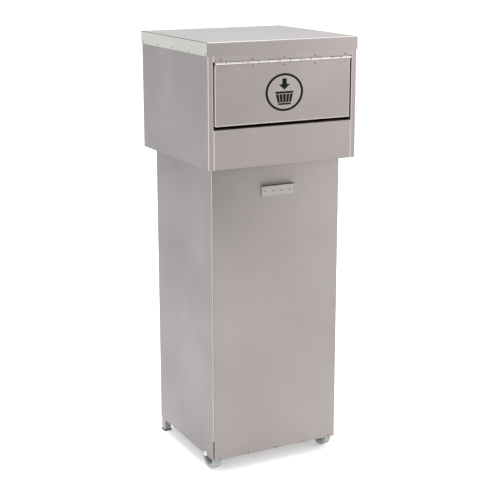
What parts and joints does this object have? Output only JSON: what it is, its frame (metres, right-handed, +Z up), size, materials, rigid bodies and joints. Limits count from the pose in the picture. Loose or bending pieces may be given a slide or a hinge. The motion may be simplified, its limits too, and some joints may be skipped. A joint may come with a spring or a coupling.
{
  "type": "trash compactor",
  "caption": "Free-standing litter compactor with a push flap in a wide hood, a tall body, a swinging press plate with a side lever, a back door and two wheels.",
  "frame": {"origin": "on the floor, under the middle of the lid's and the flap hinge's outline", "axes": "+Z up, -Y out of the front face with the flap, +X to the right of a person who faces the flap"},
  "size_m": [0.5026, 0.4856, 1.34],
  "materials": {
    "stainless": "satin stainless sheet",
    "bright_trim": "bright satin stainless sheet",
    "hinge_steel": "polished stainless hinge",
    "inner_steel": "plain mill sheet",
    "rivet": "copper-coloured rivet, tarnished",
    "machine_steel": "bright zinc-plated steel",
    "press_paint": "grey powder coat",
    "spring_steel": "oiled spring wire",
    "black_rubber": "matt black rubber",
    "black_plastic": "black moulded plastic",
    "bearing_plastic": "natural acetal",
    "grey_tyre": "non-marking grey tyre",
    "wheel_plastic": "grey moulded hub",
    "sign": "printed plate with a dark ring and arrow"
  },
  "bodies": {
    "cabinet": {"axle": "machine_steel", "axle_caps": "machine_steel", "axle_spacers": "machine_steel", "back_posts": "inner_steel", "back_top_panel": "inner_steel", "base_pan": "inner_steel", "bearing_blocks": "bearing_plastic", "bin_handle": "inner_steel", "body_front_panel": "stainless", "body_rivets": "rivet", "body_side_left": "stainless", "body_side_right": "stainless", "chute_front": "inner_steel", "chute_left": "inner_steel", "chute_right": "inner_steel", "door_hinge_body_barrels": "machine_steel", "door_hinge_pins": "machine_steel", "flap_hinge_fixed_leaf": "hinge_steel", "flap_hinge_pin": "hinge_steel", "flap_pads": "black_rubber", "foot_caps": "black_plastic", "front_posts": "inner_steel", "header_panel": "stainless", "hood_back_panel": "stainless", "hood_ring": "inner_steel", "hood_rivets": "rivet", "hood_side_left": "stainless", "hood_side_right": "stainless", "inner_bin": "inner_steel", "lid_top": "stainless", "lid_trim_left": "bright_trim", "lid_trim_right": "bright_trim", "lower_front_panel": "stainless", "pull_handle": "bright_trim", "rear_deflector": "inner_steel", "rear_rail": "inner_steel", "return_springs": "spring_steel", "stop_buffers": "black_rubber"},
    "flap": {"flap_panel": "stainless", "flap_hinge_moving_leaf": "hinge_steel", "flap_sign": "sign", "flap_brackets": "inner_steel", "flap_rivets": "rivet"},
    "press": {"press_plate": "press_paint", "press_ribs": "press_paint", "press_shaft": "machine_steel", "press_lever": "machine_steel", "lever_pin": "machine_steel", "lever_grip": "black_rubber"},
    "back_door": {"back_door": "stainless", "door_hinge_door_barrels": "machine_steel", "latch_sleeve": "bearing_plastic"},
    "door_latch": {"door_latch": "machine_steel"},
    "wheel_left": {"tyre_left": "grey_tyre", "wheel_hub_left": "wheel_plastic"},
    "wheel_right": {"tyre_right": "grey_tyre", "wheel_hub_right": "wheel_plastic"}
  },
  "joints": [
    {"name": "flap_swing", "type": "hinge", "parent": "cabinet", "child": "flap", "pos_m": [0, -0.23875, 1.279], "axis": [1, 0, 0], "range_deg": [0, 65]},
    {"name": "press_swing", "type": "hinge", "parent": "cabinet", "child": "press", "pos_m": [0, 0.165, 0.945], "axis": [1, 0, 0], "range_deg": [0, 110], "stiffness_Nm_per_rad": 8, "springref_deg": -34.38},
    {"name": "door_swing", "type": "hinge", "parent": "cabinet", "child": "back_door", "pos_m": [-0.2055, 0.224, 0.5], "axis": [0, 0, 1], "range_deg": [0, 110]},
    {"name": "latch_turn", "type": "hinge", "parent": "back_door", "child": "door_latch", "pos_m": [0.165, 0.227, 0.5], "axis": [0, -1, 0], "range_deg": [0, 90]},
    {"name": "wheel_left_spin", "type": "hinge", "parent": "cabinet", "child": "wheel_left", "pos_m": [-0.1992, -0.141, 0.05], "axis": [1, 0, 0], "continuous": true},
    {"name": "wheel_right_spin", "type": "hinge", "parent": "cabinet", "child": "wheel_right", "pos_m": [0.1992, -0.141, 0.05], "axis": [1, 0, 0], "continuous": true}
  ]
}
